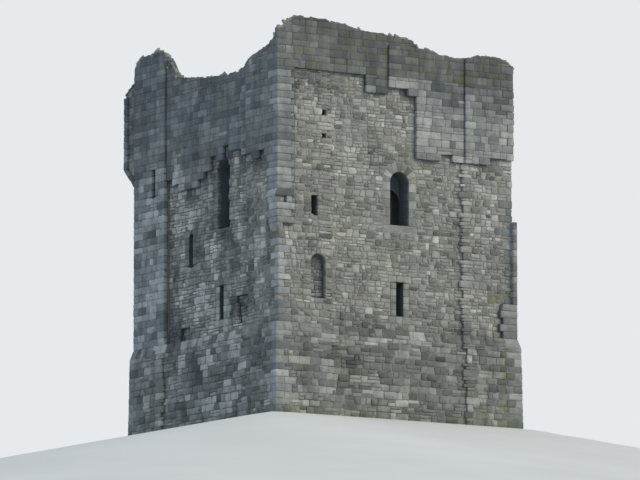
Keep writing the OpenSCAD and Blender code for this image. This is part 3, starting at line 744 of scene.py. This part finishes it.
class Finish:
    """Builds the nodes of a material, or of the sky, step by step"""

    def __init__(self, owner):
        owner.use_nodes = True
        self.owner, self.tree = owner, owner.node_tree
        self.tree.nodes.clear()
        self.normal = {}

    def feed(self, socket, value):
        """Gives a socket a value, or a link where the value is another node's output"""
        if isinstance(value, bpy.types.NodeSocket):
            self.tree.links.new(value, socket)
        else:
            socket.default_value = value

    def node(self, kind, inputs=(), **settings):
        """A new node with its settings and what its inputs are fed"""
        node = self.tree.nodes.new("ShaderNode" + kind)
        for name, value in settings.items():
            setattr(node, name, value)
        for name, value in dict(inputs).items():
            self.feed(node.inputs[name], value)
        return node

    def stretched(self, scale):
        return self.node("Mapping", {"Vector": self.coordinates, "Scale": scale}).outputs[0]

    def noise(self, scale, detail=4.0, rough=0.55, vector=None):
        return self.node("TexNoise", {"Vector": vector or self.coordinates, "Scale": scale,
                                      "Detail": detail, "Roughness": rough}).outputs["Fac"]

    def streaks(self):
        """Noise that runs down the walls"""
        return self.noise(1.0, 4.0, 0.6, self.stretched((2.4, 2.4, 0.22)))

    def ramp(self, value, stops):
        node = self.node("ValToRGB", {"Fac": value})
        elements = node.color_ramp.elements
        while len(elements) < len(stops):
            elements.new(0.5)
        for element, (position, colour) in zip(elements, stops):
            element.position = position
            element.color = (*colour, 1)
        return node.outputs["Color"]

    def range(self, value, low, high, to_low=0.0, to_high=1.0):
        return self.node("MapRange", {"Value": value, "From Min": low, "From Max": high,
                                      "To Min": to_low, "To Max": to_high}).outputs[0]

    def maths(self, operation, *values):
        return self.node("Math", enumerate(values), operation=operation).outputs[0]

    def mix(self, blend, share, a, b):
        node = self.node("Mix", data_type="RGBA", blend_type=blend)
        sockets = {s.name: s for s in node.inputs if s.enabled}
        for name, value in (("Factor", share), ("A", a), ("B", b)):
            self.feed(sockets[name], (*value, 1) if isinstance(value, tuple) else value)
        return next(s for s in node.outputs if s.enabled)

    def vary(self, colour, share, value, *stops):
        """The colour, darker and lighter by a ramp of the value"""
        return self.mix("MULTIPLY", share, colour, self.ramp(value, stops))

    def bump(self, strength, height, distance):
        """Bumps on top of those that are there already"""
        node = self.node("Bump", {"Strength": strength, "Height": height, "Distance": distance,
                                  **self.normal})
        self.normal = {"Normal": node.outputs[0]}

    def painted_depth_shade(self, colour):
        """The colour with painted shade in the depth of openings, from just behind the core's face"""
        x, y, z = self.node("SeparateXYZ", {"Vector": self.coordinates}).outputs
        outward = self.maths("MAXIMUM", self.maths("ABSOLUTE", x), self.maths("ABSOLUTE", y))
        depth = self.maths("SUBTRACT", wall_core, outward)
        shade = self.maths("MULTIPLY", self.range(depth, 0.02, 0.16), self.range(depth, 1.2, 1.9, 1.0, 0.0))
        below_walk = self.range(z, walk_level - 0.2, walk_level - 0.1, 0.9, 0.0)
        return self.mix("MIX", self.maths("MULTIPLY", shade, below_walk), colour, DEEP_SHADE)

    def finish(self, colour, roughness=0.9, specular=0.25):
        surface = self.node("BsdfPrincipled", {"Base Color": colour, "Roughness": roughness,
                                               "Specular IOR Level": specular, **self.normal})
        self.node("OutputMaterial", {"Surface": surface.outputs[0]})
        return self.owner


def new_finish(name):
    f = Finish(bpy.data.materials.new(name))
    f.coordinates = f.node("TexCoord").outputs["Object"]
    return f


SOOT_AND_SHADE = (0.047, 0.054, 0.056)
MOSS = (0.122, 0.132, 0.048)
PALE_LICHEN = (0.36, 0.37, 0.33)
# Colour of the painted shade in the depth of openings and reveals
DEEP_SHADE = (0.09, 0.105, 0.11)


def stone_finish(name, grain, *quarry, painted_opening_shade=False):
    """Stone with one quarry colour a stone, soot and painted shade from its tint, moss, lichen and a rough
    grain, and painted shade in the depth of openings where asked
    """
    f = new_finish(name)
    tint = f.node("Attribute", attribute_name="tint").outputs
    pick, soot_and_shade, moss = f.node("SeparateColor", {"Color": tint["Color"]}).outputs
    mottle = f.noise(grain * 0.35, 6.0, 0.62)
    speckle = f.noise(grain * 2.2, 3.0, 0.7)
    colour = f.ramp(pick, quarry)
    colour = f.vary(colour, 1.0, mottle, (0.25, grey(0.66)), (0.75, (1.3, 1.29, 1.26)))
    colour = f.vary(colour, 0.7, speckle, (0.3, grey(0.72)), (0.7, grey(1.25)))
    weather = f.maths("ADD", f.noise(0.9, 5.0, 0.6), f.streaks())
    # The tint's soot channel carries painted shade as well, so this darkens with soot, dirt and painted
    # shade
    dirt_and_shade = f.maths("ADD", soot_and_shade, f.range(weather, 0.8, 1.25, -0.22, 0.25))
    colour = f.mix("MIX", f.range(dirt_and_shade, 0.1, 1.15, 0.0, 0.8), colour, SOOT_AND_SHADE)
    spots = f.maths("MULTIPLY", f.range(f.noise(7.5, 5.0, 0.7), 0.6, 0.72), tint["Alpha"])
    colour = f.mix("MIX", f.maths("MULTIPLY", spots, 0.75), colour, PALE_LICHEN)
    green = f.maths("MULTIPLY", f.range(f.noise(3.1, 5.0, 0.65), 0.42, 0.62), moss)
    colour = f.mix("MIX", f.maths("MINIMUM", green, 0.85), colour, MOSS)
    if painted_opening_shade:
        colour = f.painted_depth_shade(colour)
    f.bump(0.6, mottle, 0.03)
    f.bump(0.6, speckle, 0.012)
    return f.finish(colour)


rubble_finish = stone_finish(
    "rubble_stone", 9.0, (0.0, (0.15, 0.145, 0.13)), (0.22, (0.22, 0.213, 0.19)),
    (0.5, (0.29, 0.278, 0.243)), (0.75, (0.335, 0.323, 0.285)), (0.9, (0.4, 0.383, 0.335)),
    (1.0, (0.48, 0.46, 0.41)))
ashlar_finish = stone_finish(
    "dressed_stone", 7.0, (0.0, (0.17, 0.175, 0.168)), (0.4, (0.25, 0.255, 0.242)),
    (0.7, (0.3, 0.304, 0.287)), (1.0, (0.4, 0.395, 0.365)))
plinth_finish = stone_finish(
    "plinth_blocks", 7.5, (0.0, (0.13, 0.13, 0.115)), (0.35, (0.2, 0.2, 0.18)),
    (0.65, (0.27, 0.265, 0.24)), (1.0, (0.42, 0.41, 0.37)))
surround_finish = stone_finish(
    "surround_blocks", 7.0, (0.0, (0.2, 0.196, 0.176)), (0.5, (0.29, 0.282, 0.252)),
    (1.0, (0.4, 0.386, 0.34)), painted_opening_shade=True)


def bedding_finish(name, light, dark, soot_share):
    """Old lime mortar and stone behind the laid stones, with painted shade in the depth of the openings"""
    f = new_finish(name)
    cloud = f.noise(1.3, 6.0, 0.6)
    grit = f.noise(22.0, 4.0, 0.7)
    colour = f.ramp(cloud, [(0.3, dark), (0.7, light)])
    colour = f.vary(colour, 0.8, grit, (0.3, grey(0.6)), (0.7, grey(1.3)))
    colour = f.mix("MIX", f.range(f.streaks(), 0.35, 0.75, 0.0, soot_share), colour, SOOT_AND_SHADE)
    f.bump(0.8, cloud, 0.03)
    f.bump(0.8, grit, 0.015)
    return f.finish(f.painted_depth_shade(colour), 0.95, 0.15)


front_mortar = bedding_finish("front_mortar", (0.37, 0.35, 0.3), (0.22, 0.212, 0.185), 0.3)
left_mortar = bedding_finish("left_mortar", (0.25, 0.245, 0.225), (0.1, 0.1, 0.095), 0.75)
plain_mortar = bedding_finish("core_mortar", (0.3, 0.288, 0.25), (0.16, 0.155, 0.14), 0.45)
facing_mortar = bedding_finish("facing_joints", (0.2, 0.202, 0.19), (0.1, 0.103, 0.1), 0.6)
surround_stone = bedding_finish("worn_surround", (0.3, 0.29, 0.255), (0.19, 0.186, 0.168), 0.35)
# Painted shade: the loops' reveals get a near-black stone colour where they lie in shade
loop_reveal_shade = bedding_finish("loop_reveals_painted_shade", (0.13, 0.13, 0.122), (0.075, 0.077, 0.073), 0.6)
paving = bedding_finish("flagstone", (0.2, 0.195, 0.175), (0.12, 0.118, 0.108), 0.4)


def oak_finish(name, stretch, tinted):
    """Weathered oak with its grain along one axis"""
    f = new_finish(name)
    grain = f.noise(1.0, 6.0, 0.65, f.stretched(stretch))
    colour = f.ramp(grain, [(0.25, (0.07, 0.06, 0.05)), (0.5, (0.15, 0.132, 0.11)),
                            (0.8, (0.24, 0.22, 0.19))])
    colour = f.vary(colour, 0.7, f.noise(1.1), (0.3, (0.6, 0.62, 0.58)), (0.7, (1.15, 1.1, 1.05)))
    if tinted:
        tint = f.node("Attribute", attribute_name="tint").outputs["Color"]
        pick = f.node("SeparateColor", {"Color": tint}).outputs[0]
        colour = f.vary(colour, 1.0, pick, (0.0, grey(0.6)), (1.0, (1.25, 1.2, 1.15)))
    f.bump(0.8, grain, 0.01)
    return f.finish(colour, 0.85, 0.2)


joist_finish = oak_finish("joist_oak_grain", (14.0, 0.8, 14.0), False)
board_finish = oak_finish("board_oak_grain", (0.8, 14.0, 14.0), True)

# Finishes of single nodes, and of the mortar of whole sides
OWN_FINISHES = {"loop_surrounds": loop_reveal_shade, "hall_joists": joist_finish,
                "hall_floor": joist_finish, "basement_floor": paving}
MORTARS = {"front": front_mortar, "left": left_mortar}


def finish_solids():
    """Materials of the solids that show between and beside the stones"""
    for name, obj in nodes.items():
        mortar = MORTARS.get(name.split("_")[0], plain_mortar)
        by_kind = {"rubble": mortar, "plinth": mortar, "ashlar": facing_mortar, "crown": facing_mortar}
        obj.data.materials.clear()
        obj.data.materials.append(OWN_FINISHES.get(name) or by_kind.get(stonework(name), surround_stone))


finish_solids()


# The outer sides

corner_masonry = Masonry("corner_stones", "dressed_facing", ashlar_finish)
taken = [corner_blocks(corner_masonry, corner) for corner in range(4)]
corner_masonry.build()


def clip_to_corners(run, side, low):
    """The run without what the corner blocks take of this course"""
    start, end, kind, w, before, after = run
    if low in taken[side]:
        reach, own = taken[side][low][:2]
        if abs(start + reach) < 0.1:
            start, before = start + own, w
    following = taken[(side + 1) % 4]
    if low in following:
        reach, own = following[low][2:]
        if abs(end - reach) < 0.1:
            end, after = end - own, w
    return start, end, kind, w, before, after


def lay_outer_side(side):
    name = SIDE_NAMES[side]
    survey = outer_survey(side)
    groups = {
        "rubble": Masonry(name + "_rubble", "rubble_core", rubble_finish),
        "ashlar": Masonry(name + "_ashlar", "dressed_facing", ashlar_finish),
        "plinth": Masonry(name + "_plinth_blocks", "plinth_stone", plinth_finish),
        "dressed": Masonry(name + "_loop_stones", "dressed_surround", surround_finish),
    }
    for low, high in COURSES:
        height = (low + high) / 2 if low < walk_level else low + 0.07
        for run in runs_in_course(survey, height):
            run = clip_to_corners(run, side, low)
            if run[1] - run[0] > 0.06:
                fill_run(groups[run[2]], survey, side, run, low, high)
    for masonry in groups.values():
        masonry.build()


for side in range(4):
    lay_outer_side(side)


# The dressed stones round the windows and the doorway

def joined_parts(bm):
    """Lists of the vertices of each separate solid"""
    waiting, parts = set(bm.verts), []
    while waiting:
        part, to_visit = set(), [waiting.pop()]
        while to_visit:
            v = to_visit.pop()
            part.add(v)
            beside = {e.other_vert(v) for e in v.link_edges} & waiting
            to_visit += beside
            waiting -= beside
        parts.append(part)
    return parts


def worn_stones(name, side):
    """The stones of a node, each with worn edges and a colour of its own"""
    survey = outer_survey(side)
    bm = bmesh.new()
    bm.from_mesh(nodes[name].data)
    bmesh.ops.dissolve_limit(bm, angle_limit=0.02, verts=bm.verts, edges=bm.edges)
    sharp = [e for e in bm.edges if len(e.link_faces) == 2 and e.calc_face_angle() > 0.6]
    bmesh.ops.bevel(bm, geom=sharp, offset=0.014, segments=2, profile=0.6, affect="EDGES",
                    material=-1)
    layer = bm.verts.layers.float_color.new("tint")
    bm.verts.index_update()
    for part in sorted(joined_parts(bm), key=lambda part: min(v.index for v in part)):
        middle = sum((v.co for v in part), Vector()) / len(part)
        tint = tint_at(side, middle.dot(survey.right), middle.z)
        for v in part:
            v[layer] = tint
    add_piece(mesh_from(bm, name + "_stones"), surround_finish, name)


worn_stones("front_window_surround", FRONT)
worn_stones("back_window_surround", BACK)
worn_stones("doorway_surround", RIGHT)
worn_stones("garderobe_corbels", BACK)


# The garderobe's cheeks and roof

def lay_garderobe():
    """Dressed stones on the two cheeks, behind those that turn the corners of its face"""
    low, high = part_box("garderobe")
    masonry = Masonry("garderobe_cheeks", "dressed_facing", ashlar_finish)
    front_edge = high.y - facing_thickness - 0.02
    cheeks = ((Survey((0, 1, 0), (0, 0, 1), high.x + 0.3, 0.4), dressed_face, front_edge),
              (Survey((0, -1, 0), (0, 0, 1), 0.3 - low.x, 0.4), -front_edge, -dressed_face))
    for survey, start, end in cheeks:
        for bottom, top in COURSES:
            if top > low.z + 0.1:
                for run in runs_in_course(survey, (bottom + top) / 2, start, end):
                    fill_run(masonry, survey, BACK, (*run[:4], run[3], run[3]), bottom, top)
    masonry.build()


def lay_garderobe_roof(rows=3, thickness=0.055, lap=0.06, drip=0.04):
    """Stone slabs on the sloping roof: each row lies on the upper edge of the one below it"""
    low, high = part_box("garderobe")
    above = top_survey(low.z)
    middle = (low.x + high.x) / 2
    eaves, ridge = (Vector((0, y, above.probe(middle, y)[0])) for y in (high.y - 0.01, dressed_face + 0.01))
    uphill = (ridge - eaves).normalized()
    outward = Vector((-1, 0, 0)).cross(uphill)
    pitch = (ridge - eaves).length / rows
    masonry = Masonry("garderobe_roof_slabs", "weathered_top", ashlar_finish)
    for row in range(rows):
        foot = eaves + uphill * (row * pitch - (lap if row else drip)) + outward * (thickness if row else 0)
        head = eaves + uphill * min((row + 1) * pitch + lap, pitch * rows)
        x = low.x - drip
        for width in widths_that_fill(high.x - low.x + 2 * drip, 0.28, 0.5):
            near, far = Vector((x + 0.004, 0, 0)), Vector((x + width - 0.004, 0, 0))
            slab = [p + lift for lift in (Vector(), outward * thickness)
                    for p in (foot + near, foot + far, head + far, head + near)]
            masonry.set_block([p[:] for p in slab], 0.6, tint_at(BACK, -x, eaves.z + row * pitch, 0.3))
            x += width
    masonry.build()


lay_garderobe()
lay_garderobe_roof()


# The inner sides, the broken tops and the wall-walk

def lay_inner_side(side):
    """Rubble of the hall and of the inner faces of the parapets, seen from inside"""
    survey = inner_survey(side)
    masonry = Masonry(SIDE_NAMES[side] + "_inner_stones", "rubble_core", rubble_finish)
    for low, high in COURSES:
        if high < hall_floor_top + 0.05:
            continue
        half = hall_half if high < walk_level + 0.01 else wall_face - parapet_thickness
        for start, end, _, *planes in runs_in_course(survey, (low + high) / 2, -half, half):
            fill_run(masonry, survey, INSIDE, (start, end, "inner", *planes), max(low, hall_floor_top), high)
    masonry.build()


def top_runs(survey, v, kinds):
    """Stretches along one row of a top surface, as (from, to)"""
    runs, start, last = [], None, None
    for u in np.arange(-dressed_face, dressed_face + scan_step, scan_step).tolist():
        found = survey.probe(u, v)
        here = found[0] if found and found[1] in kinds else None
        joined = here is not None and last is not None and abs(here - last) < 0.16
        edge = u - scan_step / 2
        if start is not None and not joined:
            runs.append((start, edge))
            start = None
        if start is None and here is not None:
            start = edge
        last = here
    return runs


def lay_steep_stones(masonry, kinds, style, pitch=0.05, spacing=0.15):
    """Stones on the steep slopes of the broken tops: they lie level along the slope and
    overlap, each one's middle at least the spacing from the others"""
    survey = top_survey(walk_level - 1.0, 0.08)
    grid = np.arange(-dressed_face, dressed_face, pitch).tolist()
    struck = [survey.strike(u, v) for u in grid for v in grid]
    struck = [s for s in struck if s and s[1].z < steep_slope + 0.04 and s[2] in kinds]
    placed = np.empty((0, 3))
    for index in dice.permutation(len(struck)):
        place, normal, _ = struck[index]
        if (np.square(placed - place).sum(axis=1) < spacing ** 2).any():
            continue
        placed = np.vstack((placed, place))
        turn = Matrix.Rotation(dice.normal(0, 0.2), 3, normal)
        along = turn @ Vector((0, 0, 1)).cross(normal).normalized() * dice.uniform(0.1, 0.2)
        uphill = normal.cross(along).normalized() * dice.uniform(0.08, 0.13)
        corners = [place + along * x + uphill * y for x, y in CORNERS]
        for corner in corners:
            corner.x, corner.y = (max(-dressed_face, min(dressed_face, c)) for c in corner.xy)
        rise = thrown_rise(style, 1, 0.5)
        masonry.lay(style, [c[:] for c in corners], normal[:], rise, embedded,
                    tint_at(INSIDE, place.x, place.z, style.moss))


def lay_tops(name, kinds, style, row):
    """Loose stones that lie on the level or broken tops of the walls"""
    survey = top_survey(walk_level - 1.0)
    masonry = Masonry(name, "weathered_top", rubble_finish)
    for low in np.arange(-dressed_face - 0.02, dressed_face, row).tolist():
        middle = low + row / 2
        for start, end in top_runs(survey, middle, kinds):
            u = start
            for width in widths_that_fill(end - start, *style.widths):
                found = survey.strike(u + width / 2, middle)
                if found and found[2] in kinds and found[1].z > steep_slope:
                    cell = [(u + width * (i > 0), low + row * (j > 0) + dice.uniform(-0.05, 0.05))
                            for i, j in CORNERS]
                    lay_cell(masonry, survey, INSIDE, cell, found[0].z, style)
                u += width
    lay_steep_stones(masonry, kinds, style)
    masonry.build()


for side in range(4):
    lay_inner_side(side)
lay_tops("broken_top_stones", ("crown", "ashlar"), STYLES["crown"], 0.27)
lay_tops("wall_walk_stones", ("rubble",), STYLES["walk"], 0.32)


# The hall floor

def floor_boards():
    """Oak boards across the joists, in two or three lengths a row, worn and slightly warped"""
    low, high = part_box("hall_floor")
    rows = 31
    pitch = (high.y - low.y) / rows
    joist_places = [(low.x + high.x) / 2 + (i - 3) * (high.x - low.x) / 6.6 for i in range(7)]
    bm = bmesh.new()
    layer = bm.verts.layers.float_color.new("tint")
    for row in range(rows):
        cuts = sorted(dice.choice(joist_places[1:-1], dice.integers(1, 3), replace=False))
        ends = [low.x, *cuts, high.x]
        for start, end in zip(ends, ends[1:]):
            size = (end - start - 0.006, pitch - 0.007, high.z - low.z)
            middle = Vector(((start + end) / 2, low.y + (row + 0.5) * pitch, (low.z + high.z) / 2))
            place = Matrix.LocRotScale(middle, None, Vector(size))
            made = bmesh.ops.create_cube(bm, size=1, matrix=place)["verts"]
            edges = list({e for v in made for e in v.link_edges})
            bevelled = bmesh.ops.bevel(bm, geom=edges, offset=0.006, segments=1, profile=0.5,
                                       affect="EDGES", material=-1)
            board = set(bevelled["verts"]) | {v for v in made if v.is_valid}
            tint = (*dice.random(3), 1.0)
            lift = dice.uniform(-0.006, 0.004)
            for v in board:
                v[layer] = tint
                v.co.z += lift if v.co.z > middle.z else 0
    add_piece(mesh_from(bm, "floor_boards"), board_finish, "hall_floor")


floor_boards()


# The stage

def pale_mound(half=320, fall=math.radians(12)):
    """Pale ground that is level under the keep and falls away round it, below the line of sight"""
    bm = bmesh.new()
    bmesh.ops.create_grid(bm, x_segments=160, y_segments=160, size=1)
    for v in bm.verts:
        v.co.xy = [math.copysign(abs(c) ** 2.6, c) * half for c in v.co.xy]
        away = Vector((max(0, abs(c) - foot_half - 0.1) for c in v.co.xy)).length
        v.co.z = -math.tan(fall) * (math.sqrt(away ** 2 + 0.04) - 0.2) - 0.005
    mesh = mesh_from(bm, "pale_mound")
    mesh.polygons.foreach_set("use_smooth", [True] * len(mesh.polygons))
    f = new_finish("pale_ground")
    colour = f.ramp(f.noise(0.15, 2.0), [(0.3, (0.66, 0.62, 0.57)), (0.7, (0.7, 0.66, 0.6))])
    mesh.materials.append(f.finish(colour, 1.0, 0.0))
    in_scene(mesh)


pale_mound()


def overcast_sky():
    """A pale sky behind the keep that throws a cool light on the stones"""
    sky = Finish(bpy.data.worlds.new("overcast"))
    seen = sky.node("Background", {"Color": (0.791, 0.823, 0.847, 1)})
    cast = sky.node("Background", {"Color": (0.55, 0.69, 0.88, 1)})
    to_camera = sky.node("LightPath").outputs["Is Camera Ray"]
    choice = sky.node("MixShader", {0: to_camera, 1: cast.outputs[0], 2: seen.outputs[0]})
    sky.node("OutputWorld", {"Surface": choice.outputs[0]})
    bpy.context.scene.world = sky.owner


overcast_sky()
bpy.context.scene.view_settings.view_transform = "Standard"

sun_data = bpy.data.lights.new("bright_cloud", "SUN")
sun_data.energy = 1.65
sun_data.angle = math.radians(30)
sun_data.color = (1.0, 0.9, 0.66)
towards_light = Vector((0.75, -1.0, 0.75))
in_scene(sun_data).rotation_euler = towards_light.to_track_quat("Z", "Y").to_euler()

view_azimuth = math.radians(-31.4)
view_elevation = math.radians(-8)
view_distance = 350.0
keep_share = 0.82
picture_width, picture_height = 640, 480
sensor_width = 36

camera_data = bpy.data.cameras.new("long_lens")
camera = in_scene(camera_data)
towards_viewer = Vector((math.sin(view_azimuth) * math.cos(view_elevation),
                         -math.cos(view_azimuth) * math.cos(view_elevation), math.sin(view_elevation)))
aim = (cad_box[0] + cad_box[1]) / 2
camera.location = aim + towards_viewer * view_distance
camera.rotation_euler = towards_viewer.to_track_quat("Z", "Y").to_euler()
frame_width = (cad_box[1].z - cad_box[0].z) / keep_share * picture_width / picture_height
camera_data.sensor_width = sensor_width
camera_data.lens = sensor_width * view_distance / frame_width
camera_data.clip_end = 1500
bpy.context.scene.camera = camera
